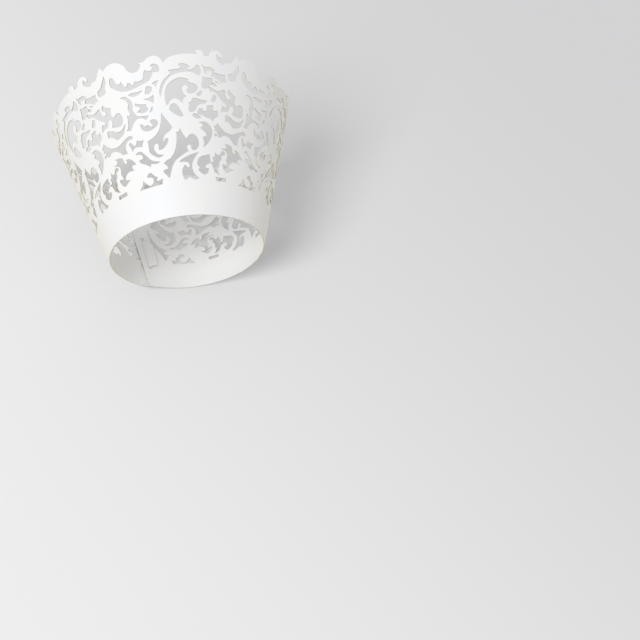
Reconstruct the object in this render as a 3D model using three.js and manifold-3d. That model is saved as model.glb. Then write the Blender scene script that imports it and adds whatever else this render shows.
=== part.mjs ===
// Cupcake wrapper: one die-cut sheet of card bent into a cone, millimetres, +Z up, standing on its small end.
import * as THREE from 'three';
import Module from 'manifold-3d';

// Driving sizes
const baseRadius = 25;            // outer radius at the small end
const coneAngle = 16.06;          // half angle of the cone, degrees
const card = 0.3;                 // card thickness
const layerGap = 0.15;            // air between lapped layers
const repeatTurn = 18.5;          // one repeat of the lace, degrees on the flat sheet
const repeats = [-2, -1, 0, 1, 2, 3];
const frontTurn = 8.7;            // where repeat 0 faces, degrees round the cone from -Y towards -X
const tabEdge = -40.2;            // sheet edge that carries the tab, degrees on the flat sheet from repeat 0
const laceEnd = 57.6;             // last cut of the lace at the slit end
const stripEnd = 60.6;            // plain edge beyond the slit
const laceMargin = 0.9;           // plain border beside the tab edge, degrees
const slit = { from: 58.65, to: 59.45, low: 8.2, high: 22.6 };
const tab = { low: 9.2, high: 20.8, reach: 2.0, cross: 0.74, corner: 1.0 };
const footStep = 1.85;            // spacing of points along the foot, degrees on the flat sheet
const curveSteps = 7;             // samples on each curve between two outline points
const chord = 0.25;               // how far a facet may stand off its curve

const rad = Math.PI / 180;
const sinA = Math.sin(coneAngle * rad);
const cosA = Math.cos(coneAngle * rad);
const footR = baseRadius / sinA;              // radius of the foot on the flat sheet
const lap = 360 * sinA;                       // full turn of the cone on the flat sheet
const flatMid = (tabEdge + stripEnd) / 2;     // centre line of the flat sheet

// Outlines of one repeat on the flat sheet: x across, y up from the foot, a third value 1 marks a sharp corner.
// Those under "seam" are drawn about the line where two repeats meet.
const openings = {
  slot: [[-18.3, 9.3, 1], [-14.8, 9.9, 1], [-15, 11.1, 1], [-18.5, 10.5, 1]],
  fan: [[-10.2, 10.3, 1], [-9, 11.7], [-8.6, 13.2, 1], [-7.8, 12.1], [-6.4, 11.1], [-5.3, 12], [-5.4, 13.3],
    [-7.2, 13.9, 1], [-6.6, 14.9], [-5.6, 15.1], [-4.8, 14], [-3.7, 13.4, 1], [-4.3, 12.2, 1], [-3.2, 12.3],
    [-2.2, 12.7, 1], [-2.6, 10.9, 1]],
  stem: [[-0.1, 12.3, 1], [-1.1, 13.7], [-1.8, 14.9], [-1, 15.3], [-0.2, 15.4, 1], [-0.4, 16.4], [-1.3, 17.2, 1],
    [-0.1, 18.2], [1, 18.6], [2.3, 20.1], [3.3, 22.3], [3.8, 24.6], [4, 26.7, 1], [4.7, 26.7], [5.3, 27.9, 1],
    [5.9, 26], [6.9, 24.1, 1], [7.8, 25.2], [8.7, 25.6], [9.8, 25.1], [10.5, 23.6], [10.5, 21.7], [9.7, 20.6],
    [8.6, 20.2], [7.9, 21], [8, 22, 1], [7.1, 22.1], [6.6, 21.3], [7.1, 20.2, 1], [5.5, 19.5], [3.6, 18.4],
    [2.6, 17.8, 1], [1.5, 16.3], [0.7, 14.5]],
  crescentLow: [[3.5, 17, 1], [4.8, 18], [7.2, 18.9], [10.1, 19.6, 1], [8.8, 18.1], [7.6, 16.3], [7.3, 14.4],
    [8, 12.4], [9, 11.3, 1], [7.7, 10.9], [6.1, 11.9, 1], [4.6, 11, 1], [4, 12.6], [4.1, 14.4], [5.3, 16, 1],
    [5.8, 15.2], [6.3, 14.9], [6.6, 15.6], [6.2, 16.6], [5, 16.9]],
  bowl: [[9, 16], [9.9, 17.7], [11.6, 18.3], [13.5, 18.6, 1], [13.5, 15.7, 1], [12, 15.3], [11.6, 14.4],
    [12.6, 14.2, 1], [12.2, 12.9], [10.9, 12.2], [9.8, 13], [9.1, 14, 1], [9.8, 14.5, 1], [9.2, 15.3]],
  leafTall: [[-20.1, 18.4, 1], [-19.1, 17.7], [-18.4, 18], [-18.1, 19.1], [-17.3, 19.5], [-16.6, 18.9],
    [-17, 18.2], [-17.8, 17.9], [-17.5, 16.9], [-18.2, 15.6], [-17.9, 14.2], [-18.3, 13.2], [-17.2, 11.5, 1],
    [-19.2, 12.1], [-20, 13.5], [-21, 14.7, 1], [-20.2, 15.4], [-20.7, 16.4, 1], [-20, 17.1]],
  spray: [[-17.4, 22, 1], [-15.9, 22.1], [-14.6, 21.8], [-14.2, 20.6], [-13.6, 19.8], [-13.1, 20.3],
    [-13.5, 21.1, 1], [-12.1, 21], [-10.8, 20], [-10.1, 18.8, 1], [-11.6, 18.5], [-11, 17, 1], [-12.8, 17.1],
    [-14, 16.3], [-14.5, 14.9], [-12.8, 14.6, 1], [-14.1, 13.6], [-15.2, 12.8], [-16.4, 13.9], [-16.9, 15.2],
    [-16.1, 15.3], [-15.4, 15, 1], [-15.6, 16.2], [-16.1, 17, 1], [-15.8, 18], [-16.1, 19.3], [-17.2, 19.9],
    [-18.5, 20.1, 1], [-16.8, 20.6], [-16.7, 21.4]],
  leafLow: [[-10, 21.8, 1], [-8.4, 22.6], [-7.2, 21.8], [-5.9, 20.1], [-4.6, 18.8], [-2.3, 18.2, 1], [-3.2, 17.6],
    [-5.1, 17.9, 1], [-5.6, 17, 1], [-7.1, 18.1], [-8.5, 18.8], [-8.9, 19.9, 1], [-7.6, 20, 1], [-7.8, 21.2],
    [-8.8, 21.6]],
  hook: [[0.4, 33.5, 1], [1, 32], [1.9, 30.5], [2.5, 29.4], [3, 28.4, 1], [2.2, 27.4], [0.7, 26.6], [-0.1, 25.5],
    [-0.3, 24.2], [0.2, 25], [1, 25.2], [1.2, 24.3], [0.2, 22.9], [-1, 21.9], [-2.2, 22], [-2, 23.3], [-2.8, 24],
    [-3.6, 22.9], [-3.3, 21.5], [-2.3, 20.4], [-0.8, 20.1, 1], [-2.4, 19.4], [-3.9, 20.2], [-5.1, 21.4],
    [-5.2, 23.2], [-5.4, 25.2, 1], [-3.6, 25.9], [-2, 27.1], [-0.9, 28.8], [-0.2, 30.8], [0, 32.3]],
  wave: [[-9.9, 27.3], [-10.8, 28.2], [-12.2, 27.7], [-13.7, 26.8], [-15.2, 25.9], [-16.9, 25.7], [-18.6, 26.2],
    [-19.8, 27.2], [-20.9, 28.1, 1], [-21.3, 27.2], [-22.1, 26.4, 1], [-21.3, 25.8], [-21.8, 25, 1], [-20.6, 25],
    [-20, 23.7], [-19.2, 23.5], [-18.3, 24.4], [-16.9, 24.6], [-15.3, 23.9], [-14, 22.7, 1], [-13.2, 22.9],
    [-12.3, 22.7, 1], [-12.8, 24.5], [-12.4, 26.1], [-11.3, 26.9]],
  twig: [[-11.5, 25.6], [-10.9, 26], [-10.2, 25.1], [-9.5, 24.6], [-9, 25.4], [-8.7, 26.3, 1], [-7.9, 25.9],
    [-6.4, 25.9, 1], [-7, 24.8], [-7.2, 23.8, 1], [-9.7, 24], [-10.6, 22.9, 1], [-11, 24.2]],
  cup: [[-18.7, 31], [-18.2, 31.6], [-17.3, 31.2], [-16.4, 31.1], [-15.3, 30.5], [-13.7, 30.5], [-12.7, 31.3],
    [-11.8, 32.4, 1], [-12.1, 30.7], [-12.9, 29.1], [-14.2, 28.4], [-15.2, 27.9, 1], [-16.3, 28.6], [-17.5, 29.4],
    [-18.5, 29.2, 1]],
  eye: [[-6.9, 30.3], [-6.6, 31.1], [-5.9, 30.6], [-5.1, 30], [-4.6, 30.5], [-3.6, 29.7], [-2.9, 29.8],
    [-3.7, 31.2], [-2.9, 31.9], [-1.6, 31.5], [-1.1, 30.5], [-1.8, 29.5], [-3.3, 28.6], [-5, 28.4], [-6.3, 29]],
  column: [[-12.2, 40.7, 1], [-10.7, 41], [-9.4, 40.1], [-8.5, 38.8], [-8.4, 37.2], [-8.7, 36.1, 1], [-8.2, 35.3],
    [-7.6, 34.1], [-6.4, 33.6], [-3.7, 33.4, 1], [-4.3, 32.6], [-4.8, 32, 1], [-6, 32.9], [-7.6, 32.9],
    [-9, 31.7], [-10.1, 29.7, 1], [-11.6, 29.9, 1], [-10.9, 31.1], [-10.7, 33], [-10.7, 35, 1], [-10, 34.5],
    [-9.7, 35.4], [-10.2, 36.9], [-9.8, 38.2], [-10.6, 39.7]],
  claw: [[-7.7, 38.1, 1], [-6.3, 37.5], [-4.1, 37.1, 1], [-3.9, 36.1], [-3.5, 35.4], [-4.2, 34.7], [-5.7, 34.5],
    [-7.4, 35.1, 1], [-6.2, 35.8], [-6.2, 36.4], [-7.5, 37, 1]],
  nick: [[-2.3, 36.2, 1], [-2, 35.5], [-2.4, 34.6], [-3.4, 34.2, 1], [-2.8, 35.2]],
  wedge: [[-4.7, 38.9, 1], [-3, 38.9], [-1.3, 39.6, 1], [-1.3, 38.3], [-1.7, 36.9, 1], [-2.8, 37.8]],
  pane: [[-3.3, 42.6], [-1.6, 42.3], [-1.6, 41.2], [-2.7, 40.2], [-3.9, 40.4], [-3.6, 41.5]],
  spur: [[-1.4, 43.2, 1], [-0.5, 43.8], [0.9, 44.1, 1], [0.2, 42.9], [-0.3, 41.9, 1], [-0.7, 42.8]],
  lens: [[-9.4, 41.1, 1], [-8.2, 41.6], [-6.4, 41.5], [-4.6, 41.8, 1], [-5.5, 40.8], [-7.4, 40.2], [-8.6, 40.5]],
  crest: [[-14.8, 45], [-15.1, 46.6], [-14.7, 47.9], [-13.5, 47.4], [-13, 46], [-12.1, 45.2], [-11.1, 45.9, 1],
    [-10.5, 44.8], [-9.6, 43.9], [-9, 45.1, 1], [-8, 44.6], [-7.3, 43.9], [-6.8, 45, 1], [-5.2, 44.8],
    [-3.9, 45.3], [-3.5, 46.9], [-2.9, 48], [-1.9, 47.5], [-1, 47.5], [-0.5, 48.3], [-1.1, 48.9, 1],
    [-0.3, 49.6], [1.2, 49.1], [1.7, 47.8], [1.2, 46.7], [-0.4, 46.9], [-1, 45.7], [-2.1, 44.4], [-4, 43.7],
    [-6.2, 43], [-8.4, 42.5], [-10.6, 42.6], [-12.8, 43.4]],
  archTop: [[0.8, 38.5, 1], [0.6, 40], [1.3, 42.2], [2.7, 44.1], [4.8, 45.7], [4.2, 46.8, 1], [5.6, 46.9],
    [7.4, 46.9], [8.6, 47.2, 1], [7.8, 48.2], [8.6, 48.6], [10.5, 48.1], [11.4, 47.2, 1], [10.5, 46.5],
    [12, 46.4], [13.6, 47.8, 1], [14.5, 46.8], [14.6, 45.2], [13.7, 44, 1], [12.2, 45.1], [10.2, 45.7],
    [7.6, 45.6], [5.2, 45], [3.2, 43.4], [1.9, 41.4], [1.2, 39.4]],
  arch: [[2.3, 35.5, 1], [2, 37.6], [2.4, 40.2], [3.4, 42], [5.2, 43.4], [7.2, 44], [8.9, 43.8], [10.4, 43.1, 1],
    [10.2, 42.4], [11.6, 41.8], [12.8, 40.8], [12.4, 39.3], [11, 38.6], [9.5, 38.7], [9.1, 39.6], [9.8, 40.6],
    [9, 41.4], [7.9, 40.7], [7.9, 39.2], [8.8, 37.7, 1], [7.7, 36.9], [7.4, 35.7, 1], [6.5, 36.7], [5.3, 37.5],
    [3.8, 37.1], [2.9, 35.9]],
  pocket: [[3.4, 35.4], [4.6, 36], [5.7, 35.1], [6.4, 33.4], [7.1, 31.6, 1], [5.9, 31.5], [4.6, 32.3],
    [2.9, 34, 1]],
  shell: [[9.1, 35.7, 1], [9.9, 35.8], [10.6, 36.9], [11.8, 36.9], [12.7, 36.5, 1], [13.7, 36.2], [15.2, 35.9, 1],
    [14.6, 35], [13.1, 34.9], [11.8, 34.3], [11.1, 33], [9.6, 32.5], [8.8, 33.4], [9.3, 34.8]],
  sliver: [[9.8, 31.5], [11, 32], [12.6, 30.5, 1], [11.3, 30.3], [10.3, 30.8]],
  crescent: [[11.5, 29, 1], [13.3, 29.2], [14.5, 28.6], [15.4, 27.1], [15.4, 25.2], [14.6, 23.4], [13.2, 21.8],
    [11.6, 20.8, 1], [12.3, 22.4], [12, 24.2, 1], [13.4, 24.8], [12.9, 25.9], [11.7, 27.2, 1], [12.6, 28.1]],
  petal: [[11.9, 38, 1], [13, 38.8], [14.1, 39.2, 1], [13.8, 38.2], [13, 37.4]],
  sail: [[14.1, 40.8], [14.6, 42.2], [15, 44, 1], [15.8, 43.4], [18, 43.1, 1], [17.9, 41.4], [16.7, 40.6],
    [15.9, 39.8], [14.5, 39.9]],
  moth: [[15.2, 48, 1], [15.9, 47], [18.2, 46.7], [19.5, 45.4, 1], [18.3, 44.8, 1], [17.8, 45.4], [16.6, 45.3],
    [16.6, 44.4, 1], [15.7, 45.2], [15.5, 46.6]],
  flame: [[-16.8, 49.2, 1], [-16.3, 47.2], [-16.9, 45.7], [-17, 44.8], [-16.8, 43.9], [-18, 43.2],
    [-19.6, 43.2], [-19.9, 45, 1], [-18.7, 45.6], [-17.9, 47.1]],
};
const seamOpenings = {
  dot: [[-2.2, 25.2], [-1.7, 25.8], [-2.2, 26.3], [-2.7, 25.8]],
  snail: [[-8.3, 32.7], [-7.7, 33.9], [-6.7, 33.9], [-6.3, 33.1], [-5.4, 33.4], [-5.3, 34.9], [-4.2, 35.2],
    [-3.1, 35.4, 1], [-3.2, 34], [-2.8, 33.5], [-1.6, 34, 1], [-1.4, 32.7], [-1.7, 31.6, 1], [-2.5, 31.3],
    [-3.3, 29.9, 1], [-3.9, 30.8], [-5.4, 31.1], [-6.8, 31.7], [-8, 31.9]],
  scroll: [[-5.2, 41.8, 1], [-3.8, 41.1], [-2, 40.3], [-0.5, 40.6], [0.7, 41], [1, 40], [1.2, 38.7], [1.9, 38],
    [2.8, 38.3], [2.6, 39.1], [1.8, 39.8], [1.8, 40.8], [2.4, 41.5, 1], [3.2, 40.4], [5, 39.4, 1], [4.5, 38.1],
    [4.4, 37.1], [5.2, 36.1, 1], [6.2, 36.9], [7.4, 36.6], [7.9, 35.2], [7.6, 33.5], [6.4, 32.6], [4.9, 32.8],
    [3.5, 33.4], [4, 34.4], [3.9, 35.6], [3.2, 36], [2.5, 35.2], [1.9, 34.1], [0.5, 33.9], [-0.7, 33.2, 1],
    [-0.3, 34.6], [0.2, 35.7], [1.2, 35.2], [1.4, 36.1], [0.2, 36.9], [-0.9, 38], [-2, 39.2], [-3.2, 39.9, 1],
    [-4.1, 39.8], [-4.7, 40.8]],
  thorn: [[-3.1, 39, 1], [-2.1, 38.5, 1], [-2.3, 37.2], [-3, 36.4], [-4, 36.8], [-3.5, 38]],
  cloud: [[-4.1, 45, 1], [-3.1, 46.2], [-1.2, 45.9], [1, 45.9, 1], [1, 44.7], [1.4, 43.5, 1], [0.2, 43.5],
    [-0.4, 42.9, 1], [-1.4, 43.8], [-2.7, 44.4]],
  dash: [[-2.7, 43.4, 1], [-1.7, 43.3], [-0.9, 42.7, 1], [-1.7, 42.6]],
  seed: [[-3.7, 42.5], [-2.9, 42.7], [-1.9, 41.9, 1], [-2.8, 41.6]],
};
// The scalloped rim of one repeat, left to right: a curl and a leaf tip about the seam, then three lobes.
const seamRim = [[-4.9, 51.3, 1], [-4.4, 52.6], [-3, 53.5], [-1.3, 53.2], [-0.3, 51.8], [-0.9, 51.2],
  [-1.9, 52.3], [-2.4, 51.1], [-1.5, 49.8], [0.2, 49.2], [0.8, 50, 1], [2.8, 50.1], [3.9, 51.6], [5.2, 53.1, 1]];
const lobeRim = [[-16.6, 50.8, 1], [-15.4, 51.9], [-13.2, 52.5], [-11, 51.9], [-9.2, 50.4], [-8.6, 49],
  [-7, 47.9], [-5.2, 48.2], [-4.1, 49.8], [-4.9, 50.6, 1], [-2.9, 50.8], [-1.6, 51.8], [0.3, 52.2], [2.1, 51.4],
  [3.1, 49.4, 1], [4.6, 50.8], [7, 51.4], [10, 51.6], [14.1, 51.2, 1], [13.8, 52.1], [15.3, 52.5],
  [16.3, 51.6], [16.2, 50.5, 1]];

// Flat-sheet geometry
const turned = (points, degrees) => {
  const c = Math.cos(degrees * rad);
  const s = Math.sin(degrees * rad);
  return points.map(([x, y, k]) => [c * x + s * (y + footR), c * (y + footR) - s * x - footR, k]);
};
const polar = (r, degrees) => [r * Math.sin(degrees * rad), r * Math.cos(degrees * rad) - footR];

// A curve through the points: round at a plain point, with its own direction on each side of a corner.
function curve(points, closed) {
  const n = points.length;
  const at = (i) => points[((i % n) + n) % n];
  const heading = (i) => {
    const dx = at(i + 1)[0] - at(i - 1)[0];
    const dy = at(i + 1)[1] - at(i - 1)[1];
    const len = Math.hypot(dx, dy) || 1;
    return [dx / len, dy / len];
  };
  const sharp = (i) => at(i)[2] === 1 || (!closed && (i === 0 || i === n - 1));
  const out = [];
  for (let i = 0; i < (closed ? n : n - 1); i += 1) {
    const a = at(i);
    const b = at(i + 1);
    const len = Math.hypot(b[0] - a[0], b[1] - a[1]);
    let ta = sharp(i) ? null : heading(i).map((v) => v * len);
    let tb = sharp(i + 1) ? null : heading(i + 1).map((v) => v * len);
    const span = [b[0] - a[0], b[1] - a[1]];
    if (!ta && !tb) {
      out.push([a[0], a[1], 1]);
      continue;
    }
    ta = ta ?? span.map((v, q) => 1.5 * v - 0.5 * tb[q]);
    tb = tb ?? span.map((v, q) => 1.5 * v - 0.5 * ta[q]);
    for (let k = 0; k < curveSteps; k += 1) {
      const t = k / curveSteps;
      const h = [2 * t ** 3 - 3 * t ** 2 + 1, t ** 3 - 2 * t ** 2 + t, 3 * t ** 2 - 2 * t ** 3, t ** 3 - t ** 2];
      const p = [0, 1].map((q) => h[0] * a[q] + h[1] * ta[q] + h[2] * b[q] + h[3] * tb[q]);
      out.push([p[0], p[1], k === 0 && sharp(i) ? 1 : 0]);
    }
  }
  if (!closed) out.push([...at(n - 1)]);
  return out;
}

// Keeps the fewest samples that hold every facet within the chord of the curve.
function thin(points) {
  const keep = new Set([0, points.length - 1]);
  const stack = [[0, points.length - 1]];
  while (stack.length) {
    const [i, j] = stack.pop();
    const [ax, ay] = points[i];
    const [bx, by] = points[j];
    const len = Math.hypot(bx - ax, by - ay);
    let worst = 0;
    let at = -1;
    for (let k = i + 1; k < j; k += 1) {
      const [px, py] = points[k];
      const d = len < 1e-9 ? Math.hypot(px - ax, py - ay)
        : Math.abs((bx - ax) * (py - ay) - (by - ay) * (px - ax)) / len;
      if (d > worst) {
        worst = d;
        at = k;
      }
    }
    if (worst > chord) {
      keep.add(at);
      stack.push([i, at], [at, j]);
    }
  }
  return [...keep].sort((a, b) => a - b).map((k) => points[k]);
}
function thinLoop(points) {
  const start = Math.max(points.findIndex((p) => p[2] === 1), 0);
  const ring = [...points.slice(start), ...points.slice(0, start), points[start]];
  return thin(ring).slice(0, -1);
}

// Boolean work is done on flat slabs
const wasm = await Module();
wasm.setup();
const area = (loop) => loop.reduce((sum, p, i) => {
  const q = loop[(i + 1) % loop.length];
  return sum + (p[0] * q[1] - q[0] * p[1]) / 2;
}, 0);
function slab(points, low, high) {
  const loop = area(points) > 0 ? points : [...points].reverse();
  const flat = loop.map(([x, y]) => new THREE.Vector2(x, y));
  const n = flat.length;
  const faces = THREE.ShapeUtils.triangulateShape(flat, []);
  const vertices = [];
  for (const z of [low, high]) for (const p of flat) vertices.push(p.x, p.y, z);
  const tris = [];
  for (const [a, b, c] of faces) {
    tris.push(c, b, a, a + n, b + n, c + n);
  }
  for (let i = 0; i < n; i += 1) {
    const j = (i + 1) % n;
    tris.push(i, j, j + n, i, j + n, i + n);
  }
  const mesh = new wasm.Mesh({
    numProp: 3, vertProperties: Float32Array.from(vertices), triVerts: Uint32Array.from(tris),
  });
  return new wasm.Manifold(mesh);
}
// Sector of the flat sheet between two lines from its apex
function sector(from, to, low, high, step) {
  const out = [];
  const count = Math.max(1, Math.round((to - from) / step));
  for (let i = 0; i <= count; i += 1) out.push(polar(low, from + ((to - from) * i) / count));
  for (let i = count; i >= 0; i -= 1) out.push(polar(high, from + ((to - from) * i) / count));
  return out;
}
const onSheet = (points) => turned(points, -flatMid);

const rim = [];
for (const j of [repeats[0] - 1, ...repeats, repeats.at(-1) + 1]) {
  rim.push(...turned(seamRim, (j - 0.5) * repeatTurn), ...turned(lobeRim, j * repeatTurn));
}
const rimLine = onSheet(thin(curve(rim, false)));
const rimEnds = [rimLine[0], rimLine.at(-1)].map((p) => Math.atan2(p[0], p[1] + footR) / rad);
const backArc = sector(rimEnds[0], rimEnds[1], footR - 5, footR, 4).slice(0, 1 + Math.round((rimEnds[1] - rimEnds[0]) / 4));
const lace = slab([...rimLine, ...backArc.reverse()], 0, 1);
const outline = slab(onSheet(sector(tabEdge, stripEnd, footR, footR + 70, footStep)), -1, 2);
let sheet = lace.intersect(outline);

const laceWindow = slab(onSheet(sector(tabEdge + laceMargin, laceEnd, footR, footR + 52.5, 4)), -1, 3);
let cuts = null;
for (const j of repeats) {
  const sets = [[openings, j], [seamOpenings, j - 0.5]];
  if (j === repeats.at(-1)) sets.push([seamOpenings, j + 0.5]);
  for (const [set, place] of sets) {
    for (const points of Object.values(set)) {
      const loop = onSheet(turned(thinLoop(curve(points, true)), place * repeatTurn));
      const prism = slab(loop, -0.5, 1.5);
      cuts = cuts ? cuts.add(prism) : prism;
    }
  }
}
sheet = sheet.subtract(cuts.intersect(laceWindow));
sheet = sheet.subtract(slab(onSheet(sector(slit.from, slit.to, footR + slit.low, footR + slit.high, 5)), -1, 2));

// Loops of the slab's upper face
function loopsOf(solid) {
  const m = solid.getMesh();
  const key = (i) => `${m.vertProperties[i * m.numProp].toFixed(4)},${m.vertProperties[i * m.numProp + 1].toFixed(4)}`;
  const place = new Map();
  const next = new Map();
  const edges = new Map();
  for (let t = 0; t < m.triVerts.length; t += 3) {
    const ids = [0, 1, 2].map((k) => m.triVerts[t + k]);
    if (ids.some((i) => m.vertProperties[i * m.numProp + 2] < 0.999)) continue;
    const keys = ids.map(key);
    ids.forEach((i, k) => place.set(keys[k], [m.vertProperties[i * m.numProp], m.vertProperties[i * m.numProp + 1]]));
    for (let k = 0; k < 3; k += 1) edges.set(`${keys[k]}|${keys[(k + 1) % 3]}`, [keys[k], keys[(k + 1) % 3]]);
  }
  for (const [a, b] of edges.values()) {
    if (edges.has(`${b}|${a}`)) continue;
    if (!next.has(a)) next.set(a, []);
    next.get(a).push(b);
  }
  const loops = [];
  while (next.size) {
    const [first] = next.keys();
    const loop = [];
    let at = first;
    do {
      loop.push(place.get(at));
      const to = next.get(at);
      const pick = to.pop();
      if (!to.length) next.delete(at);
      at = pick;
    } while (at !== first && next.has(at));
    if (Math.abs(area(loop)) > 0.05) loops.push(loop);
  }
  return loops.sort((a, b) => Math.abs(area(b)) - Math.abs(area(a)));
}

// Adds the tab's root to the sheet's edge, so that the tab shares its two root points.
const tabPoint = (r, back) => polar(footR + r, tabEdge - flatMid - back);
const roots = [tabPoint(tab.high, 0.006), tabPoint(tab.low, 0.006)];
const loops = loopsOf(sheet);
const edgeAngle = (p) => Math.atan2(p[0], p[1] + footR) / rad + flatMid;
const outer = [];
loops[0].forEach((p, i) => {
  const q = loops[0][(i + 1) % loops[0].length];
  outer.push(p);
  const onEdge = Math.abs(edgeAngle(p) - tabEdge) < 0.01 && Math.abs(edgeAngle(q) - tabEdge) < 0.01;
  const reach = [p, q].map((v) => Math.hypot(v[0], v[1] + footR) - footR);
  if (onEdge && Math.max(...reach) > tab.high && Math.min(...reach) < tab.low) {
    outer.push(...(reach[0] > reach[1] ? roots : [...roots].reverse()));
  }
});
const holes = loops.slice(1);

// Triangles of the flat sheet, with edges turned until none is longer than it need be
const flat = [outer, ...holes].flat().map(([x, y]) => new THREE.Vector2(x, y));
const asVectors = (loop) => loop.map(([x, y]) => new THREE.Vector2(x, y));
let tris = THREE.ShapeUtils.triangulateShape(asVectors(outer), holes.map(asVectors)).map((t) => [...t]);
const orient = (a, b, c) => (b.x - a.x) * (c.y - a.y) - (b.y - a.y) * (c.x - a.x);
tris = tris.map(([a, b, c]) => (orient(flat[a], flat[b], flat[c]) > 0 ? [a, b, c] : [a, c, b]));
const inCircle = (a, b, c, d) => {
  const rows = [a, b, c].map((p) => [p.x - d.x, p.y - d.y, (p.x - d.x) ** 2 + (p.y - d.y) ** 2]);
  const [r, s, t] = rows;
  return r[0] * (s[1] * t[2] - s[2] * t[1]) - r[1] * (s[0] * t[2] - s[2] * t[0])
    + r[2] * (s[0] * t[1] - s[1] * t[0]);
};
for (let round = 0; round < 60; round += 1) {
  const owner = new Map();
  tris.forEach((t, i) => t.forEach((a, k) => owner.set(a * 65536 + t[(k + 1) % 3], i)));
  const busy = new Set();
  let flips = 0;
  tris.forEach((t, i) => {
    for (let k = 0; k < 3 && !busy.has(i); k += 1) {
      const [a, b, c] = [t[k], t[(k + 1) % 3], t[(k + 2) % 3]];
      const j = owner.get(b * 65536 + a);
      if (j === undefined || busy.has(j) || j === i) continue;
      const d = tris[j].find((v) => v !== a && v !== b);
      const [A, B, C, D] = [a, b, c, d].map((v) => flat[v]);
      if (inCircle(A, B, C, D) > 1e-9 && orient(A, D, C) > 1e-6 && orient(D, B, C) > 1e-6) {
        tris[i] = [a, d, c];
        tris[j] = [d, b, c];
        busy.add(i).add(j);
        flips += 1;
      }
    }
  });
  if (!flips) break;
}

// The tab: a strip that crosses the slit, then its free end with cut corners.
const rootIds = roots.map((r) => flat.findIndex((p) => Math.hypot(p.x - r[0], p.y - r[1]) < 1e-3));
const tabOutline = [
  tabPoint(tab.low, tab.cross), tabPoint(tab.low + tab.corner, tab.reach),
  tabPoint(tab.high - tab.corner, tab.reach), tabPoint(tab.high, tab.cross),
];
const base = flat.length;
tabOutline.forEach(([x, y]) => flat.push(new THREE.Vector2(x, y)));
const [hi, lo] = rootIds;
for (const t of [[lo, hi, base + 3], [lo, base + 3, base], [base, base + 3, base + 2], [base, base + 2, base + 1]]) {
  tris.push(orient(flat[t[0]], flat[t[1]], flat[t[2]]) > 0 ? t : [t[0], t[2], t[1]]);
}

// Bending onto the cone
const step = card + layerGap;
const ease = (t) => {
  const s = Math.min(Math.max(t, 0), 1);
  return s * s * (3 - 2 * s);
};
function inset(angle) {
  if (angle < tabEdge) return -2 * step * Math.min((tabEdge - angle) / tab.cross, 1);
  return -step * ease((angle - (laceEnd - 7)) / 6.5);
}
function bend(p, face) {
  const r = Math.hypot(p.x, p.y + footR);
  const angle = Math.atan2(p.x, p.y + footR) / rad + flatMid;
  const theta = (frontTurn - angle / sinA) * rad;
  const across = r * sinA + (inset(angle) - (face ? 0 : card)) / cosA;
  return [-across * Math.sin(theta), -across * Math.cos(theta), (r - footR) * cosA];
}
const vertices = [];
for (const face of [1, 0]) for (const p of flat) vertices.push(...bend(p, face));
const count = flat.length;
const index = [];
const borders = new Set(tris.flatMap(([a, b, c]) => [`${a}|${b}`, `${b}|${c}`, `${c}|${a}`]));
for (const [a, b, c] of tris) {
  index.push(a, b, c, a + count, c + count, b + count);
  for (const [p, q] of [[a, b], [b, c], [c, a]]) {
    if (borders.has(`${q}|${p}`)) continue;
    index.push(p, p + count, q + count, p, q + count, q);
  }
}
const geometry = new THREE.BufferGeometry();
geometry.setAttribute('position', new THREE.Float32BufferAttribute(vertices, 3));
geometry.setIndex(index);
geometry.computeVertexNormals();

const material = new THREE.MeshStandardMaterial({ color: 0xf2f0ed, roughness: 0.55, metalness: 0.05 });
material.name = 'pearl_card';
const wrapper = new THREE.Mesh(geometry, material);
wrapper.name = 'wrapper_sheet';
const part = new THREE.Group();
part.name = 'cupcake_wrapper';
part.add(wrapper);
export default part;
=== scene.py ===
import math

import bmesh
import bpy
from mathutils import Matrix, Vector
from mathutils.geometry import interpolate_bezier


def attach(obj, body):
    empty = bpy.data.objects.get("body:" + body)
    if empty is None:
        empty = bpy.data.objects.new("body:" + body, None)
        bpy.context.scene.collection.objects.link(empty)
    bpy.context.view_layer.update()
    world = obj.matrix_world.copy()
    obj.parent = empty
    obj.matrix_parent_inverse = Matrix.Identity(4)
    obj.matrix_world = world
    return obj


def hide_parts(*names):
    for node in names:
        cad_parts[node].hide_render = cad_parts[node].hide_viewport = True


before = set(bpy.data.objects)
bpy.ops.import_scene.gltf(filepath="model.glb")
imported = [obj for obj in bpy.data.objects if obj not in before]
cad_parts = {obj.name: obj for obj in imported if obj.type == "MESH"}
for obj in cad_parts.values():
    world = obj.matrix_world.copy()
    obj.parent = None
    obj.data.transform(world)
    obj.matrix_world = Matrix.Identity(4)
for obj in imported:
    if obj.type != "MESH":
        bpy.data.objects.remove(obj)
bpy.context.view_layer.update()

# Cupcake wrapper: one die-cut sheet of pearl card bent into a cone. The sheet is drawn flat, in millimetres.
base_radius = 25.0  # outer radius at the small end
cone_angle = math.radians(16.06)
card = 0.3
layer_gap = 0.15  # air between lapped layers
repeat_turn = 18.5  # one repeat of the lace, degrees on the flat sheet
repeats = [-2, -1, 0, 1, 2, 3]
front_turn = 8.7  # where repeat 0 faces, degrees round the cone
tab_edge = -40.2  # sheet edge that carries the tab, degrees on the flat sheet
lace_end = 57.6  # last edge of the lace
strip_end = 60.6  # plain edge beyond the slit
lace_margin = 0.9  # plain card between the tab edge and the lace
# The slit and the tab: low, high and corner are millimetres up from the foot, the others degrees on the flat sheet.
slit = dict(start=58.65, end=59.45, low=8.2, high=22.6)
tab = dict(low=9.2, high=20.8, reach=2.0, cross=0.74, corner=1.0)
lap_start = 7  # the sheet begins to step inwards this far before the last lace edge, degrees
lap_length = 6.5

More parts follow.
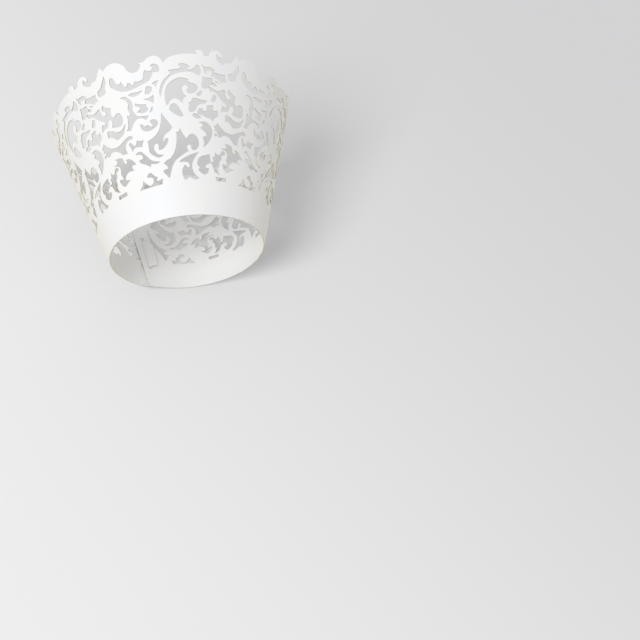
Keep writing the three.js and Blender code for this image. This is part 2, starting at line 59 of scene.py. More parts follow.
facet = 0.035  # how far a facet of a cut edge may stand off its curve
fold_step = 0.5  # spacing of the bends across the sheet, degrees
foot_step = 0.4  # spacing of the points along the foot, degrees
one_point = 0.004  # points of an outline closer than this are one point
on_fold = 0.003  # a point this close to a bend lies on it
crease = math.radians(35)  # facets of a cut edge that meet at more than this show a sharp edge

foot_radius = base_radius / math.sin(cone_angle)  # radius of the foot on the flat sheet
apex = Vector((0, -foot_radius, 0))

# Outlines of one repeat on the flat sheet: x across, y up from the foot, a third value 1 marks a sharp corner.
# Those of seam_openings are drawn about the line where two repeats meet.
openings = {
    "slot": [[-18.3, 9.3, 1], [-14.8, 9.9, 1], [-15, 11.1, 1], [-18.5, 10.5, 1]],
    "fan": [[-10.2, 10.3, 1], [-9, 11.7], [-8.6, 13.2, 1], [-7.8, 12.1], [-6.4, 11.1], [-5.3, 12], [-5.4, 13.3],
        [-7.2, 13.9, 1], [-6.6, 14.9], [-5.6, 15.1], [-4.8, 14], [-3.7, 13.4, 1], [-4.3, 12.2, 1], [-3.2, 12.3],
        [-2.2, 12.7, 1], [-2.6, 10.9, 1]],
    "stem": [[-0.1, 12.3, 1], [-1.1, 13.7], [-1.8, 14.9], [-1, 15.3], [-0.2, 15.4, 1], [-0.4, 16.4], [-1.3, 17.2, 1],
        [-0.1, 18.2], [1, 18.6], [2.3, 20.1], [3.3, 22.3], [3.8, 24.6], [4, 26.7, 1], [4.7, 26.7], [5.3, 27.9, 1],
        [5.9, 26], [6.9, 24.1, 1], [7.8, 25.2], [8.7, 25.6], [9.8, 25.1], [10.5, 23.6], [10.5, 21.7], [9.7, 20.6],
        [8.6, 20.2], [7.9, 21], [8, 22, 1], [7.1, 22.1], [6.6, 21.3], [7.1, 20.2, 1], [5.5, 19.5], [3.6, 18.4],
        [2.6, 17.8, 1], [1.5, 16.3], [0.7, 14.5]],
    "crescentLow": [[3.5, 17, 1], [4.8, 18], [7.2, 18.9], [10.1, 19.6, 1], [8.8, 18.1], [7.6, 16.3], [7.3, 14.4],
        [8, 12.4], [9, 11.3, 1], [7.7, 10.9], [6.1, 11.9, 1], [4.6, 11, 1], [4, 12.6], [4.1, 14.4], [5.3, 16, 1],
        [5.8, 15.2], [6.3, 14.9], [6.6, 15.6], [6.2, 16.6], [5, 16.9]],
    "bowl": [[9, 16], [9.9, 17.7], [11.6, 18.3], [13.5, 18.6, 1], [13.5, 15.7, 1], [12, 15.3], [11.6, 14.4],
        [12.6, 14.2, 1], [12.2, 12.9], [10.9, 12.2], [9.8, 13], [9.1, 14, 1], [9.8, 14.5, 1], [9.2, 15.3]],
    "leafTall": [[-20.1, 18.4, 1], [-19.1, 17.7], [-18.4, 18], [-18.1, 19.1], [-17.3, 19.5], [-16.6, 18.9],
        [-17, 18.2], [-17.8, 17.9], [-17.5, 16.9], [-18.2, 15.6], [-17.9, 14.2], [-18.3, 13.2], [-17.2, 11.5, 1],
        [-19.2, 12.1], [-20, 13.5], [-21, 14.7, 1], [-20.2, 15.4], [-20.7, 16.4, 1], [-20, 17.1]],
    "spray": [[-17.4, 22, 1], [-15.9, 22.1], [-14.6, 21.8], [-14.2, 20.6], [-13.6, 19.8], [-13.1, 20.3],
        [-13.5, 21.1, 1], [-12.1, 21], [-10.8, 20], [-10.1, 18.8, 1], [-11.6, 18.5], [-11, 17, 1], [-12.8, 17.1],
        [-14, 16.3], [-14.5, 14.9], [-12.8, 14.6, 1], [-14.1, 13.6], [-15.2, 12.8], [-16.4, 13.9], [-16.9, 15.2],
        [-16.1, 15.3], [-15.4, 15, 1], [-15.6, 16.2], [-16.1, 17, 1], [-15.8, 18], [-16.1, 19.3], [-17.2, 19.9],
        [-18.5, 20.1, 1], [-16.8, 20.6], [-16.7, 21.4]],
    "leafLow": [[-10, 21.8, 1], [-8.4, 22.6], [-7.2, 21.8], [-5.9, 20.1], [-4.6, 18.8], [-2.3, 18.2, 1], [-3.2, 17.6],
        [-5.1, 17.9, 1], [-5.6, 17, 1], [-7.1, 18.1], [-8.5, 18.8], [-8.9, 19.9, 1], [-7.6, 20, 1], [-7.8, 21.2],
        [-8.8, 21.6]],
    "hook": [[0.4, 33.5, 1], [1, 32], [1.9, 30.5], [2.5, 29.4], [3, 28.4, 1], [2.2, 27.4], [0.7, 26.6], [-0.1, 25.5],
        [-0.3, 24.2], [0.2, 25], [1, 25.2], [1.2, 24.3], [0.2, 22.9], [-1, 21.9], [-2.2, 22], [-2, 23.3], [-2.8, 24],
        [-3.6, 22.9], [-3.3, 21.5], [-2.3, 20.4], [-0.8, 20.1, 1], [-2.4, 19.4], [-3.9, 20.2], [-5.1, 21.4],
        [-5.2, 23.2], [-5.4, 25.2, 1], [-3.6, 25.9], [-2, 27.1], [-0.9, 28.8], [-0.2, 30.8], [0, 32.3]],
    "wave": [[-9.9, 27.3], [-10.8, 28.2], [-12.2, 27.7], [-13.7, 26.8], [-15.2, 25.9], [-16.9, 25.7], [-18.6, 26.2],
        [-19.8, 27.2], [-20.9, 28.1, 1], [-21.3, 27.2], [-22.1, 26.4, 1], [-21.3, 25.8], [-21.8, 25, 1], [-20.6, 25],
        [-20, 23.7], [-19.2, 23.5], [-18.3, 24.4], [-16.9, 24.6], [-15.3, 23.9], [-14, 22.7, 1], [-13.2, 22.9],
        [-12.3, 22.7, 1], [-12.8, 24.5], [-12.4, 26.1], [-11.3, 26.9]],
    "twig": [[-11.5, 25.6], [-10.9, 26], [-10.2, 25.1], [-9.5, 24.6], [-9, 25.4], [-8.7, 26.3, 1], [-7.9, 25.9],
        [-6.4, 25.9, 1], [-7, 24.8], [-7.2, 23.8, 1], [-9.7, 24], [-10.6, 22.9, 1], [-11, 24.2]],
    "cup": [[-18.7, 31], [-18.2, 31.6], [-17.3, 31.2], [-16.4, 31.1], [-15.3, 30.5], [-13.7, 30.5], [-12.7, 31.3],
        [-11.8, 32.4, 1], [-12.1, 30.7], [-12.9, 29.1], [-14.2, 28.4], [-15.2, 27.9, 1], [-16.3, 28.6], [-17.5, 29.4],
        [-18.5, 29.2, 1]],
    "eye": [[-6.9, 30.3], [-6.6, 31.1], [-5.9, 30.6], [-5.1, 30], [-4.6, 30.5], [-3.6, 29.7], [-2.9, 29.8],
        [-3.7, 31.2], [-2.9, 31.9], [-1.6, 31.5], [-1.1, 30.5], [-1.8, 29.5], [-3.3, 28.6], [-5, 28.4], [-6.3, 29]],
    "column": [[-12.2, 40.7, 1], [-10.7, 41], [-9.4, 40.1], [-8.5, 38.8], [-8.4, 37.2], [-8.7, 36.1, 1], [-8.2, 35.3],
        [-7.6, 34.1], [-6.4, 33.6], [-3.7, 33.4, 1], [-4.3, 32.6], [-4.8, 32, 1], [-6, 32.9], [-7.6, 32.9],
        [-9, 31.7], [-10.1, 29.7, 1], [-11.6, 29.9, 1], [-10.9, 31.1], [-10.7, 33], [-10.7, 35, 1], [-10, 34.5],
        [-9.7, 35.4], [-10.2, 36.9], [-9.8, 38.2], [-10.6, 39.7]],
    "claw": [[-7.7, 38.1, 1], [-6.3, 37.5], [-4.1, 37.1, 1], [-3.9, 36.1], [-3.5, 35.4], [-4.2, 34.7], [-5.7, 34.5],
        [-7.4, 35.1, 1], [-6.2, 35.8], [-6.2, 36.4], [-7.5, 37, 1]],
    "nick": [[-2.3, 36.2, 1], [-2, 35.5], [-2.4, 34.6], [-3.4, 34.2, 1], [-2.8, 35.2]],
    "wedge": [[-4.7, 38.9, 1], [-3, 38.9], [-1.3, 39.6, 1], [-1.3, 38.3], [-1.7, 36.9, 1], [-2.8, 37.8]],
    "pane": [[-3.3, 42.6], [-1.6, 42.3], [-1.6, 41.2], [-2.7, 40.2], [-3.9, 40.4], [-3.6, 41.5]],
    "spur": [[-1.4, 43.2, 1], [-0.5, 43.8], [0.9, 44.1, 1], [0.2, 42.9], [-0.3, 41.9, 1], [-0.7, 42.8]],
    "lens": [[-9.4, 41.1, 1], [-8.2, 41.6], [-6.4, 41.5], [-4.6, 41.8, 1], [-5.5, 40.8], [-7.4, 40.2], [-8.6, 40.5]],
    "crest": [[-14.8, 45], [-15.1, 46.6], [-14.7, 47.9], [-13.5, 47.4], [-13, 46], [-12.1, 45.2], [-11.1, 45.9, 1],
        [-10.5, 44.8], [-9.6, 43.9], [-9, 45.1, 1], [-8, 44.6], [-7.3, 43.9], [-6.8, 45, 1], [-5.2, 44.8],
        [-3.9, 45.3], [-3.5, 46.9], [-2.9, 48], [-1.9, 47.5], [-1, 47.5], [-0.5, 48.3], [-1.1, 48.9, 1],
        [-0.3, 49.6], [1.2, 49.1], [1.7, 47.8], [1.2, 46.7], [-0.4, 46.9], [-1, 45.7], [-2.1, 44.4], [-4, 43.7],
        [-6.2, 43], [-8.4, 42.5], [-10.6, 42.6], [-12.8, 43.4]],
    "archTop": [[0.8, 38.5, 1], [0.6, 40], [1.3, 42.2], [2.7, 44.1], [4.8, 45.7], [4.2, 46.8, 1], [5.6, 46.9],
        [7.4, 46.9], [8.6, 47.2, 1], [7.8, 48.2], [8.6, 48.6], [10.5, 48.1], [11.4, 47.2, 1], [10.5, 46.5],
        [12, 46.4], [13.6, 47.8, 1], [14.5, 46.8], [14.6, 45.2], [13.7, 44, 1], [12.2, 45.1], [10.2, 45.7],
        [7.6, 45.6], [5.2, 45], [3.2, 43.4], [1.9, 41.4], [1.2, 39.4]],
    "arch": [[2.3, 35.5, 1], [2, 37.6], [2.4, 40.2], [3.4, 42], [5.2, 43.4], [7.2, 44], [8.9, 43.8], [10.4, 43.1, 1],
        [10.2, 42.4], [11.6, 41.8], [12.8, 40.8], [12.4, 39.3], [11, 38.6], [9.5, 38.7], [9.1, 39.6], [9.8, 40.6],
        [9, 41.4], [7.9, 40.7], [7.9, 39.2], [8.8, 37.7, 1], [7.7, 36.9], [7.4, 35.7, 1], [6.5, 36.7], [5.3, 37.5],
        [3.8, 37.1], [2.9, 35.9]],
    "pocket": [[3.4, 35.4], [4.6, 36], [5.7, 35.1], [6.4, 33.4], [7.1, 31.6, 1], [5.9, 31.5], [4.6, 32.3],
        [2.9, 34, 1]],
    "shell": [[9.1, 35.7, 1], [9.9, 35.8], [10.6, 36.9], [11.8, 36.9], [12.7, 36.5, 1], [13.7, 36.2], [15.2, 35.9, 1],
        [14.6, 35], [13.1, 34.9], [11.8, 34.3], [11.1, 33], [9.6, 32.5], [8.8, 33.4], [9.3, 34.8]],
    "sliver": [[9.8, 31.5], [11, 32], [12.6, 30.5, 1], [11.3, 30.3], [10.3, 30.8]],
    "crescent": [[11.5, 29, 1], [13.3, 29.2], [14.5, 28.6], [15.4, 27.1], [15.4, 25.2], [14.6, 23.4], [13.2, 21.8],
        [11.6, 20.8, 1], [12.3, 22.4], [12, 24.2, 1], [13.4, 24.8], [12.9, 25.9], [11.7, 27.2, 1], [12.6, 28.1]],
    "petal": [[11.9, 38, 1], [13, 38.8], [14.1, 39.2, 1], [13.8, 38.2], [13, 37.4]],
    "sail": [[14.1, 40.8], [14.6, 42.2], [15, 44, 1], [15.8, 43.4], [18, 43.1, 1], [17.9, 41.4], [16.7, 40.6],
        [15.9, 39.8], [14.5, 39.9]],
    "moth": [[15.2, 48, 1], [15.9, 47], [18.2, 46.7], [19.5, 45.4, 1], [18.3, 44.8, 1], [17.8, 45.4], [16.6, 45.3],
        [16.6, 44.4, 1], [15.7, 45.2], [15.5, 46.6]],
    "flame": [[-16.8, 49.2, 1], [-16.3, 47.2], [-16.9, 45.7], [-17, 44.8], [-16.8, 43.9], [-18, 43.2],
        [-19.6, 43.2], [-19.9, 45, 1], [-18.7, 45.6], [-17.9, 47.1]],
}
seam_openings = {
    "dot": [[-2.2, 25.2], [-1.7, 25.8], [-2.2, 26.3], [-2.7, 25.8]],
    "snail": [[-8.3, 32.7], [-7.7, 33.9], [-6.7, 33.9], [-6.3, 33.1], [-5.4, 33.4], [-5.3, 34.9], [-4.2, 35.2],
        [-3.1, 35.4, 1], [-3.2, 34], [-2.8, 33.5], [-1.6, 34, 1], [-1.4, 32.7], [-1.7, 31.6, 1], [-2.5, 31.3],
        [-3.3, 29.9, 1], [-3.9, 30.8], [-5.4, 31.1], [-6.8, 31.7], [-8, 31.9]],
    "scroll": [[-5.2, 41.8, 1], [-3.8, 41.1], [-2, 40.3], [-0.5, 40.6], [0.7, 41], [1, 40], [1.2, 38.7], [1.9, 38],
        [2.8, 38.3], [2.6, 39.1], [1.8, 39.8], [1.8, 40.8], [2.4, 41.5, 1], [3.2, 40.4], [5, 39.4, 1], [4.5, 38.1],
        [4.4, 37.1], [5.2, 36.1, 1], [6.2, 36.9], [7.4, 36.6], [7.9, 35.2], [7.6, 33.5], [6.4, 32.6], [4.9, 32.8],
        [3.5, 33.4], [4, 34.4], [3.9, 35.6], [3.2, 36], [2.5, 35.2], [1.9, 34.1], [0.5, 33.9], [-0.7, 33.2, 1],
        [-0.3, 34.6], [0.2, 35.7], [1.2, 35.2], [1.4, 36.1], [0.2, 36.9], [-0.9, 38], [-2, 39.2], [-3.2, 39.9, 1],
        [-4.1, 39.8], [-4.7, 40.8]],
    "thorn": [[-3.1, 39, 1], [-2.1, 38.5, 1], [-2.3, 37.2], [-3, 36.4], [-4, 36.8], [-3.5, 38]],
    "cloud": [[-4.1, 45, 1], [-3.1, 46.2], [-1.2, 45.9], [1, 45.9, 1], [1, 44.7], [1.4, 43.5, 1], [0.2, 43.5],
        [-0.4, 42.9, 1], [-1.4, 43.8], [-2.7, 44.4]],
    "dash": [[-2.7, 43.4, 1], [-1.7, 43.3], [-0.9, 42.7, 1], [-1.7, 42.6]],
    "seed": [[-3.7, 42.5], [-2.9, 42.7], [-1.9, 41.9, 1], [-2.8, 41.6]],
}
# The scalloped rim of one repeat, left to right: a curl and a leaf tip about the seam, then three lobes.
seam_rim = [[-4.9, 51.3, 1], [-4.4, 52.6], [-3, 53.5], [-1.3, 53.2], [-0.3, 51.8], [-0.9, 51.2],
    [-1.9, 52.3], [-2.4, 51.1], [-1.5, 49.8], [0.2, 49.2], [0.8, 50, 1], [2.8, 50.1], [3.9, 51.6], [5.2, 53.1, 1]]
lobe_rim = [[-16.6, 50.8, 1], [-15.4, 51.9], [-13.2, 52.5], [-11, 51.9], [-9.2, 50.4], [-8.6, 49],
    [-7, 47.9], [-5.2, 48.2], [-4.1, 49.8], [-4.9, 50.6, 1], [-2.9, 50.8], [-1.6, 51.8], [0.3, 52.2], [2.1, 51.4],
    [3.1, 49.4, 1], [4.6, 50.8], [7, 51.4], [10, 51.6], [14.1, 51.2, 1], [13.8, 52.1], [15.3, 52.5],
    [16.3, 51.6], [16.2, 50.5, 1]]



def turned(points, degrees):
    """The points turned about the sheet's apex, clockwise as seen from outside."""
    c, s = math.cos(math.radians(degrees)), math.sin(math.radians(degrees))
    out = []
    for p in points:
        x, y = p[0], p[1] + foot_radius
        out.append((c * x + s * y, c * y - s * x - foot_radius, *p[2:]))
    return out


def on_sheet(radius, degrees):
    """The point of the flat sheet at a radius and an angle from the apex."""
    angle = math.radians(degrees)
    return (radius * math.sin(angle), radius * math.cos(angle) - foot_radius)


def bearing(p):
    """The angle of a point of the flat sheet, in degrees from the middle line."""
    return math.degrees(math.atan2(p[0], p[1] + foot_radius))


def curve(points, closed):
    """Samples of a curve through the points: round at a plain point, free on each side of a corner."""
    count = len(points)
    spots = [Vector((p[0], p[1], 0)) for p in points]
    sharp = [len(p) > 2 for p in points]
    if not closed:
        sharp[0] = sharp[-1] = True
    heading = [(spots[(i + 1) % count] - spots[i - 1]).normalized() for i in range(count)]
    out = []
    for i in range(count if closed else count - 1):
        j = (i + 1) % count
        a, b = spots[i], spots[j]
        span = b - a
        if sharp[i] and sharp[j]:
            out.append(a)
            continue
        # An end at a corner is left free, so that the curve runs straight out of it.
        leave = None if sharp[i] else heading[i] * span.length
        arrive = None if sharp[j] else heading[j] * span.length
        if leave is None:
            leave = 1.5 * span - 0.5 * arrive
        if arrive is None:
            arrive = 1.5 * span - 0.5 * leave
        bow = (leave - arrive).length / 8
        pieces = max(2, math.ceil(math.sqrt(bow / facet)))
        out += interpolate_bezier(a, a + leave / 3, b - arrive / 3, b, pieces + 1)[:-1]
    if not closed:
        out.append(spots[-1])
    return [(p.x, p.y) for p in out]


def trimmed(loop, degrees, side):
    """The parts of a closed outline beyond a line from the apex (side 1) or before it (side -1)."""
    beyond = [side * (bearing(p) - degrees) > 0 for p in loop]
    if all(beyond):
        return [loop]
    if not any(beyond):
        return []
    normal = Vector((math.cos(math.radians(degrees)), -math.sin(math.radians(degrees))))

    def crossing(p, q):
        """Where the line from the apex cuts one side of the outline."""
        p, q = Vector(p), Vector(q)
        dp = (p - apex.xy).dot(normal)
        dq = (q - apex.xy).dot(normal)
        return tuple(p.lerp(q, dp / (dp - dq)))

    count = len(loop)
    runs = []
    for i in range(count):
        if beyond[i] or not beyond[(i + 1) % count]:
            continue
        run = [crossing(loop[i], loop[(i + 1) % count])]
        k = (i + 1) % count
        while beyond[k]:
            run.append(loop[k])
            k = (k + 1) % count
        run.append(crossing(loop[k - 1], loop[k]))
        runs.append(run)
    # The runs are joined along the line, from the apex outwards: each crossing meets its neighbour.
    ends = [(run[end], n, end) for n, run in enumerate(runs) for end in (0, -1)]
    reach = sorted((math.hypot(x, y + foot_radius), n, end) for (x, y), n, end in ends)
    partner = {}
    for first, second in zip(reach[::2], reach[1::2]):
        partner[first[1:]] = second[1:]
        partner[second[1:]] = first[1:]
    out = []
    left = set(range(len(runs)))
    while left:
        n = min(left)
        joined = []
        while n in left:
            left.remove(n)
            joined += runs[n]
            n = partner[(n, -1)][0]
        out.append(joined)
    return out


def ease(t):
    """A soft step from 0 to 1."""
    t = min(max(t, 0), 1)
    return t * t * (3 - 2 * t)


def inset(degrees):
    """How far the sheet lies inside the cone where its ends lap: tab behind strip, strip behind lace."""
    step = card + layer_gap
    if degrees < tab_edge:
        return -2 * step * min((tab_edge - degrees) / tab["cross"], 1)
    return -step * ease((degrees - (lace_end - lap_start)) / lap_length)


def bent(p):
    """A point of the flat sheet on the cone, in metres. Its z is the depth below the outer face."""
    radius = math.hypot(p.x, p.y + foot_radius)
    degrees = bearing(p)
    turn = math.radians(front_turn) - math.radians(degrees) / math.sin(cone_angle)
    reach = radius * math.sin(cone_angle) + (inset(degrees) + p.z) / math.cos(cone_angle)
    place = (-reach * math.sin(turn), -reach * math.cos(turn), (radius - foot_radius) * math.cos(cone_angle))
    return Vector(place) / 1000


def draw(sheet, loop):
    """A closed outline as edges of the flat sheet."""
    corners = []
    for x, y in loop:
        if not corners or (Vector((x, y, 0)) - corners[-1].co).length > one_point:
            corners.append(sheet.verts.new((x, y, 0)))
    if (corners[0].co - corners[-1].co).length < one_point:
        sheet.verts.remove(corners.pop())
    return [sheet.edges.new((corners[i - 1], corners[i])) for i in range(len(corners))]


def sheet_outline():
    """The rim from the tab edge to the plain edge, down that edge, back along the foot and up round the tab."""
    rim = []
    for j in [repeats[0] - 1, *repeats, repeats[-1] + 1]:
        rim += turned(seam_rim, (j - 0.5) * repeat_turn) + turned(lobe_rim, j * repeat_turn)
    rim = curve(rim, False)
    inside = [tab_edge < bearing(p) < strip_end for p in rim]
    first = inside.index(True)
    last = len(rim) - 1 - inside[::-1].index(True)
    out = []
    for outer, inner, degrees in ((first - 1, first, tab_edge), (last + 1, last, strip_end)):
        share = (degrees - bearing(rim[outer])) / (bearing(rim[inner]) - bearing(rim[outer]))
        out.append(tuple(Vector(rim[outer]).lerp(Vector(rim[inner]), share)))
    outline = [out[0], *rim[first : last + 1], out[1]]
    steps = round((strip_end - tab_edge) / foot_step)
    foot = (strip_end + (tab_edge - strip_end) * k / steps for k in range(steps + 1))
    outline += [on_sheet(foot_radius, degrees) for degrees in foot]
    root, cross, end = tab_edge, tab_edge - tab["cross"], tab_edge - tab["reach"]
    low, high, corner = foot_radius + tab["low"], foot_radius + tab["high"], tab["corner"]
    outline += [on_sheet(low, root), on_sheet(low, cross), on_sheet(low + corner, end)]
    outline += [on_sheet(high - corner, end), on_sheet(high, cross), on_sheet(high, root)]
    return outline


def lace_cuts():
    """The outlines of all openings, clipped at the plain margin and at the last edge of the lace."""
    out = []
    for j in repeats:
        sets = [(openings, j), (seam_openings, j - 0.5)]
        if j == repeats[-1]:
            sets.append((seam_openings, j + 0.5))
        for cuts, place in sets:
            for points in cuts.values():
                loop = curve(turned(points, place * repeat_turn), True)
                for part in trimmed(loop, tab_edge + lace_margin, 1):
                    out += trimmed(part, lace_end, -1)
    return out


def slit_cut():
    """The upright slit that the tab goes through."""
    low, high = foot_radius + slit["low"], foot_radius + slit["high"]
    start, end = slit["start"], slit["end"]
    return [on_sheet(low, start), on_sheet(low, end), on_sheet(high, end), on_sheet(high, start)]


sheet = bmesh.new()
outlines = draw(sheet, sheet_outline())
for loop in lace_cuts() + [slit_cut()]:
    outlines += draw(sheet, loop)
bmesh.ops.triangle_fill(sheet, use_beauty=True, edges=outlines, normal=(0, 0, 1))
# Where the fill lays one triangle over its neighbours, two of its edges carry a third face.
doubled = [face for face in sheet.faces if sum(len(edge.link_faces) > 2 for edge in face.edges) > 1]
bmesh.ops.delete(sheet, geom=doubled, context="FACES")

# The sheet is cut along lines from its apex, which stay straight on the cone.
folds = math.ceil((strip_end - tab_edge + tab["reach"]) / fold_step)
for k in range(1, folds):
    degrees = math.radians(strip_end - k * fold_step)
    geometry = sheet.verts[:] + sheet.edges[:] + sheet.faces[:]
    square_to_fold = (math.cos(degrees), -math.sin(degrees), 0)
    bmesh.ops.bisect_plane(sheet, geom=geometry, dist=on_fold, plane_co=apex, plane_no=square_to_fold)
bmesh.ops.triangulate(sheet, faces=sheet.faces[:])
if sum(f.normal.z for f in sheet.faces) < 0:
    bmesh.ops.reverse_faces(sheet, faces=sheet.faces[:])
back = bmesh.ops.extrude_face_region(sheet, geom=sheet.faces[:])["geom"]
for corner in back:
    if isinstance(corner, bmesh.types.BMVert):
        corner.co.z = -card
# Material 0 is the faces of the card, material 1 its cut edges.
for face in sheet.faces:
    face.smooth = True
    face.normal_update()
    face.material_index = 0 if abs(face.normal.z) > 0.5 else 1
for corner in sheet.verts:
    corner.co = bent(corner.co)
# The faces point out of the card.
bmesh.ops.recalc_face_normals(sheet, faces=sheet.faces[:])
if sheet.calc_volume(signed=True) < 0:
    bmesh.ops.reverse_faces(sheet, faces=sheet.faces[:])
for edge in sheet.edges:
    sides = {face.material_index for face in edge.link_faces}
    edge.smooth = len(sides) == 1 and (sides == {0} or edge.calc_face_angle(0) < crease)

wrapper_mesh = bpy.data.meshes.new("lace_wrapper")
sheet.to_mesh(wrapper_mesh)
sheet.free()
wrapper = bpy.data.objects.new("lace_wrapper", wrapper_mesh)
bpy.context.scene.collection.objects.link(wrapper)
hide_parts("wrapper_sheet")
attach(wrapper, "root")


def node(tree, kind, at=(0, 0), inputs=None, **settings):
    """A shader node at its place, with its settings and its plain input values."""
    made = tree.nodes.new(kind)
    made.location = at
    for name, value in settings.items():
        setattr(made, name, value)
    for name, value in (inputs or {}).items():
        made.inputs[name].default_value = value
    return made


def blank_material(name):
    made = bpy.data.materials.new(name)
    made.use_nodes = True
    made.node_tree.nodes.clear()
    return made


def two_tones(tree, at, low, low_tone, high, high_tone):
    """A ramp from one tone to another."""
    ramp = node(tree, "ShaderNodeValToRGB", at)
    ends = ramp.color_ramp.elements
    ends[0].position, ends[0].color = low, low_tone
    ends[1].position, ends[1].color = high, high_tone
    return ramp


cool_white, warm_white = (0.84, 0.847, 0.866, 1), (0.87, 0.863, 0.853, 1)
pearl_tint = (1, 0.93, 0.66, 1)
scorched, cream = (0.5, 0.475, 0.37, 1), (0.74, 0.712, 0.56, 1)

# Satin pearl card: a faint cloud of cool and warm white, paper grain and a soft pearl coat.
pearl = blank_material("pearl_card")
tree = pearl.node_tree
link = tree.links.new
place = node(tree, "ShaderNodeTexCoord", (-1100, 0))
cloud = node(tree, "ShaderNodeTexNoise", (-850, 200), {"Scale": 70, "Detail": 3})
tone = two_tones(tree, (-600, 200), 0.35, cool_white, 0.68, warm_white)
fibre = node(tree, "ShaderNodeTexNoise", (-850, -150), {"Scale": 2600, "Detail": 4, "Roughness": 0.6})
gloss = node(tree, "ShaderNodeMapRange", (-600, -100), {"To Min": 0.42, "To Max": 0.6})
grain = node(tree, "ShaderNodeBump", (-600, -400), {"Strength": 0.12, "Distance": 0.0001})
satin = {"IOR": 1.45, "Sheen Weight": 0.45, "Sheen Roughness": 0.5, "Sheen Tint": pearl_tint}
coat = {"Coat Weight": 0.2, "Coat Roughness": 0.35}
surface = node(tree, "ShaderNodeBsdfPrincipled", (-250, 100), {**satin, **coat})
out = node(tree, "ShaderNodeOutputMaterial", (50, 100))
link(place.outputs["Object"], cloud.inputs["Vector"])
link(place.outputs["Object"], fibre.inputs["Vector"])
link(cloud.outputs["Fac"], tone.inputs["Fac"])
link(fibre.outputs["Fac"], gloss.inputs["Value"])
link(fibre.outputs["Fac"], grain.inputs["Height"])
link(tone.outputs["Color"], surface.inputs["Base Color"])
link(gloss.outputs["Result"], surface.inputs["Roughness"])
link(grain.outputs["Normal"], surface.inputs["Normal"])
link(surface.outputs["BSDF"], out.inputs["Surface"])

# The cut edges are matt and a little browned.
browned = blank_material("cut_edge")
tree = browned.node_tree
link = tree.links.new
place = node(tree, "ShaderNodeTexCoord", (-900, 0))
scorch = node(tree, "ShaderNodeTexNoise", (-650, 0), {"Scale": 400, "Detail": 3})
tone = two_tones(tree, (-400, 0), 0.35, scorched, 0.7, cream)
surface = node(tree, "ShaderNodeBsdfPrincipled", (-100, 0), {"Roughness": 0.85})
out = node(tree, "ShaderNodeOutputMaterial", (200, 0))
link(place.outputs["Object"], scorch.inputs["Vector"])
link(scorch.outputs["Fac"], tone.inputs["Fac"])
link(tone.outputs["Color"], surface.inputs["Base Color"])
link(surface.outputs["BSDF"], out.inputs["Surface"])

wrapper_mesh.materials.append(pearl)
wrapper_mesh.materials.append(browned)

# The wrapper lies on its side on the table in the main view: the table touches the back of the cone.
# across, away and up are the table's own directions, written in the wrapper's frame.
across = Vector((0.98238, -0.05195, -0.17945))
away = Vector((0.18682, 0.27315, 0.94366))
up = Vector((0, -0.96057, 0.27805))
contact = Vector((0, base_radius, 0)) / 1000
stage_half = 8  # half the side of the floor and of the table, in metres
painted_shade_offset = 0.45  # how far the tone of a stage sheet has gone where its fall starts; on the table this tone is a painted falloff of light


def stage_sheet(name, centre, normal, near, far, painted_fall):
    """A plane seen from its front only, which takes the shadow of the wrapper and throws none. Its tone goes from
    near to far along the fall vector, whose length is one over the distance; where near and far differ, this is
    painted light and shade."""
    plane = bmesh.new()
    bmesh.ops.create_grid(plane, x_segments=1, y_segments=1, size=stage_half)
    turn = Vector((0, 0, 1)).rotation_difference(normal).to_matrix().to_4x4()
    bmesh.ops.transform(plane, matrix=Matrix.Translation(centre) @ turn, verts=plane.verts[:])
    mesh = bpy.data.meshes.new(name)
    plane.to_mesh(mesh)
    plane.free()
    shade = blank_material(name)
    tree = shade.node_tree
    link = tree.links.new
    place = node(tree, "ShaderNodeTexCoord", (-1100, 0))
    # The ramp along the fall vector paints light and shade into the sheet's colour where near and far differ.
    along = node(tree, "ShaderNodeVectorMath", (-900, 0), {1: painted_fall}, operation="DOT_PRODUCT")
    middle = node(tree, "ShaderNodeMath", (-800, -200), {1: painted_shade_offset}, operation="ADD")
    tone = two_tones(tree, (-700, 0), 0, near, 1, far)
    tone.color_ramp.interpolation = "EASE"
    facing = node(tree, "ShaderNodeNewGeometry", (-600, 200))
    matt = node(tree, "ShaderNodeBsdfDiffuse", (-400, 0))
    clear = node(tree, "ShaderNodeBsdfTransparent", (-400, -200))
    mix = node(tree, "ShaderNodeMixShader", (-150, 0))
    out = node(tree, "ShaderNodeOutputMaterial", (100, 0))
    link(place.outputs["Object"], along.inputs[0])
    link(along.outputs["Value"], middle.inputs[0])
    link(middle.outputs["Value"], tone.inputs["Fac"])
    link(tone.outputs["Color"], matt.inputs["Color"])
    link(facing.outputs["Backfacing"], mix.inputs["Fac"])
    link(matt.outputs["BSDF"], mix.inputs[1])
    link(clear.outputs["BSDF"], mix.inputs[2])
    link(mix.outputs["Shader"], out.inputs["Surface"])
    mesh.materials.append(shade)
    made = bpy.data.objects.new(name, mesh)
    bpy.context.scene.collection.objects.link(made)
    made.visible_diffuse = made.visible_glossy = made.visible_transmission = made.visible_shadow = False
    return made


# The table's pale and grey are painted light and painted shade: lighter on the lamp's side, darker away from it.
painted_light_pale, light_grey, painted_shade_grey = (0.9, 0.9, 0.9, 1), (0.8, 0.8, 0.8, 1), (0.68, 0.68, 0.69, 1)
floor = stage_sheet("floor", (0, 0, -0.0001), Vector((0, 0, 1)), light_grey, light_grey, Vector((0, 1, 0)))
# The table's colour is painted shade: it goes from pale near the lamp to grey away from it, standing in for the
# light's falloff.
stage_sheet("table", contact - up * 0.0003, up, painted_light_pale, painted_shade_grey, across * 2.3 + away * 1.6)

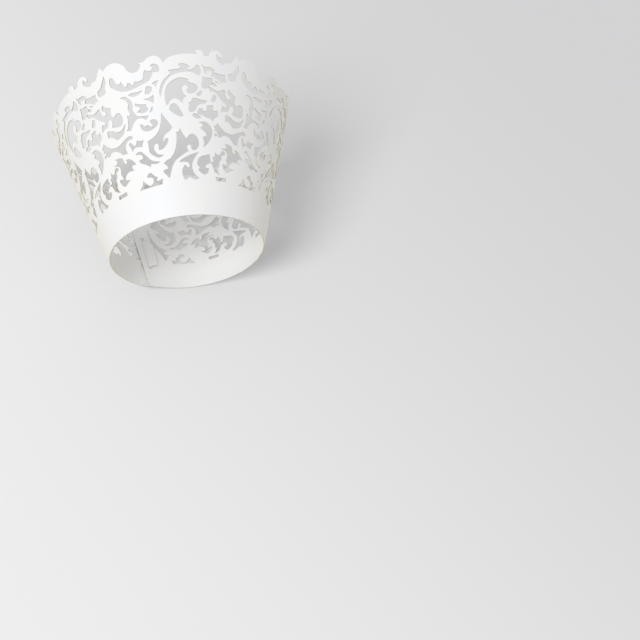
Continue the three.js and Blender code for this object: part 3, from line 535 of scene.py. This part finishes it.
# The room: plain white light on the wrapper, and a pale grey where the camera looks past it.
world = bpy.data.worlds.new("room")
world.use_nodes = True
room = world.node_tree
link = room.links.new
light = room.nodes["Background"]
light.inputs["Color"].default_value = (1, 1, 1, 1)
light.inputs["Strength"].default_value = 0.61
seen = node(room, "ShaderNodeBackground", (0, -200), {"Color": (0.78, 0.78, 0.785, 1)})
ray = node(room, "ShaderNodeLightPath", (-400, 300))
shiny = node(room, "ShaderNodeMath", (-200, 300), operation="MAXIMUM")
shown = node(room, "ShaderNodeMath", (0, 300), operation="MAXIMUM")
mix = node(room, "ShaderNodeMixShader", (250, 0))
link(ray.outputs["Is Glossy Ray"], shiny.inputs[0])
link(ray.outputs["Is Transmission Ray"], shiny.inputs[1])
link(ray.outputs["Is Camera Ray"], shown.inputs[0])
link(shiny.outputs["Value"], shown.inputs[1])
link(shown.outputs["Value"], mix.inputs["Fac"])
link(light.outputs["Background"], mix.inputs[1])
link(seen.outputs["Background"], mix.inputs[2])
link(mix.outputs["Shader"], room.nodes["World Output"].inputs["Surface"])
bpy.context.scene.world = world


def lamp(name, towards, strength, spread):
    """A broad light from one side. spread is its angle in degrees."""
    light = bpy.data.lights.new(name, "SUN")
    light.energy = strength
    light.angle = math.radians(spread)
    made = bpy.data.objects.new(name, light)
    made.rotation_euler = towards.to_track_quat("Z", "Y").to_euler()
    made.location = towards
    bpy.context.scene.collection.objects.link(made)
    return made


lamp("window", up - across * 0.52 - away * 0.93, 1.62, 28)
# The upright floor has a light of its own, from overhead.
overhead = lamp("overhead", Vector((-0.3, -0.25, 1)), 1.1, 45)
lit = bpy.data.collections.new("lit_from_overhead")
lit.objects.link(floor)
overhead.light_linking.receiver_collection = lit

# Camera at the photograph's angle: below the small end, looking up along the front of the cone.
view = bpy.data.cameras.new("photo_view")
view.lens = 111.3  # fitted to the photograph, like the stand, the pitch and the roll
view.sensor_width = 36
view.clip_start = 0.01
view.clip_end = 50
camera = bpy.data.objects.new("photo_view", view)
stand = Vector((-39.4, -563.3, -295.2)) / 1000
pitch, roll = math.radians(48.0), math.radians(2.5)
forward = away * math.cos(pitch) - up * math.sin(pitch)
level = away * math.sin(pitch) + up * math.cos(pitch)
right = across * math.cos(roll) + level * math.sin(roll)
above = level * math.cos(roll) - across * math.sin(roll)
turn = Matrix((right, above, -forward)).transposed().to_4x4()
camera.matrix_world = Matrix.Translation(stand) @ turn
bpy.context.scene.collection.objects.link(camera)
bpy.context.scene.camera = camera
bpy.context.scene.view_settings.view_transform = "Standard"
